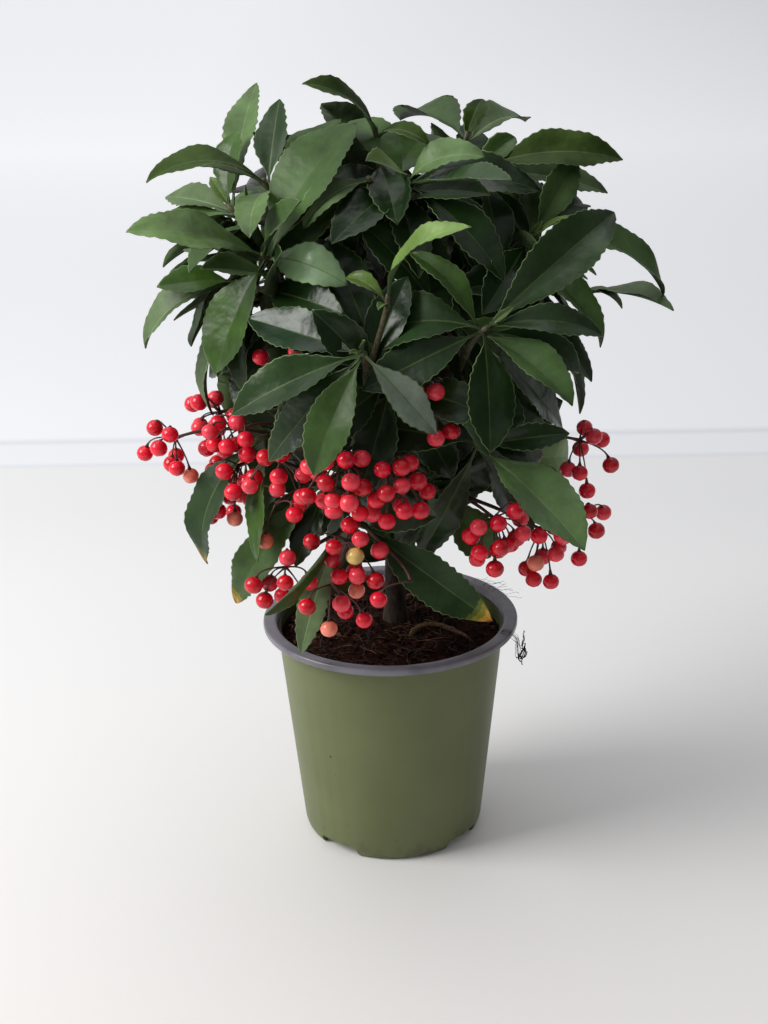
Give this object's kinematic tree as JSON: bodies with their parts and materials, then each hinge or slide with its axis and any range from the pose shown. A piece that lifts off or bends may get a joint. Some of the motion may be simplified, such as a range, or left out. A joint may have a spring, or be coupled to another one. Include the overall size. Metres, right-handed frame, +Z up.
{
  "type": "potted coral ardisia plant",
  "caption": "Small evergreen shrub in a round nursery pot, with whorls of scalloped leaves and umbels of red berries hanging under the foliage.",
  "frame": {"origin": "middle of the pot's flat underside, on the pot's axis", "axes": "+Z up along the pot's axis; -Y to the front, the side shown in the picture; +X to the viewer's right"},
  "size_m": [0.271, 0.2571, 0.4147],
  "materials": {
    "pot": "moulded olive green, matte",
    "rim": "moulded grey, slight sheen",
    "soil": "dark fibrous peat",
    "bark": "grey-brown bark",
    "foliage": "glossy dark green leaves",
    "berries": "glossy bright red berries on brown stalks, with green leaves"
  },
  "bodies": {
    "root": {"pot_body": "pot", "pot_rim": "rim", "soil": "soil", "trunk": "bark", "bough_front": "bark", "bough_front_right": "bark", "bough_left": "bark", "bough_top_left": "bark", "bough_top_right": "bark", "bough_right": "bark", "bough_back_right": "bark", "bough_back": "bark", "bough_back_left": "bark", "foliage_front": "foliage", "foliage_front_right": "foliage", "foliage_left": "foliage", "foliage_top_left": "foliage", "foliage_top": "foliage", "foliage_top_right": "foliage", "foliage_right": "foliage", "foliage_back_right": "foliage", "foliage_back": "foliage", "foliage_back_left": "foliage", "fruit_left": "berries", "fruit_left_low": "berries", "fruit_front_left": "berries", "fruit_front": "berries", "fruit_front_low": "berries", "fruit_front_right": "berries", "fruit_right": "berries", "fruit_back_right": "berries", "fruit_back": "berries", "fruit_back_left": "berries"}
  },
  "joints": []
}
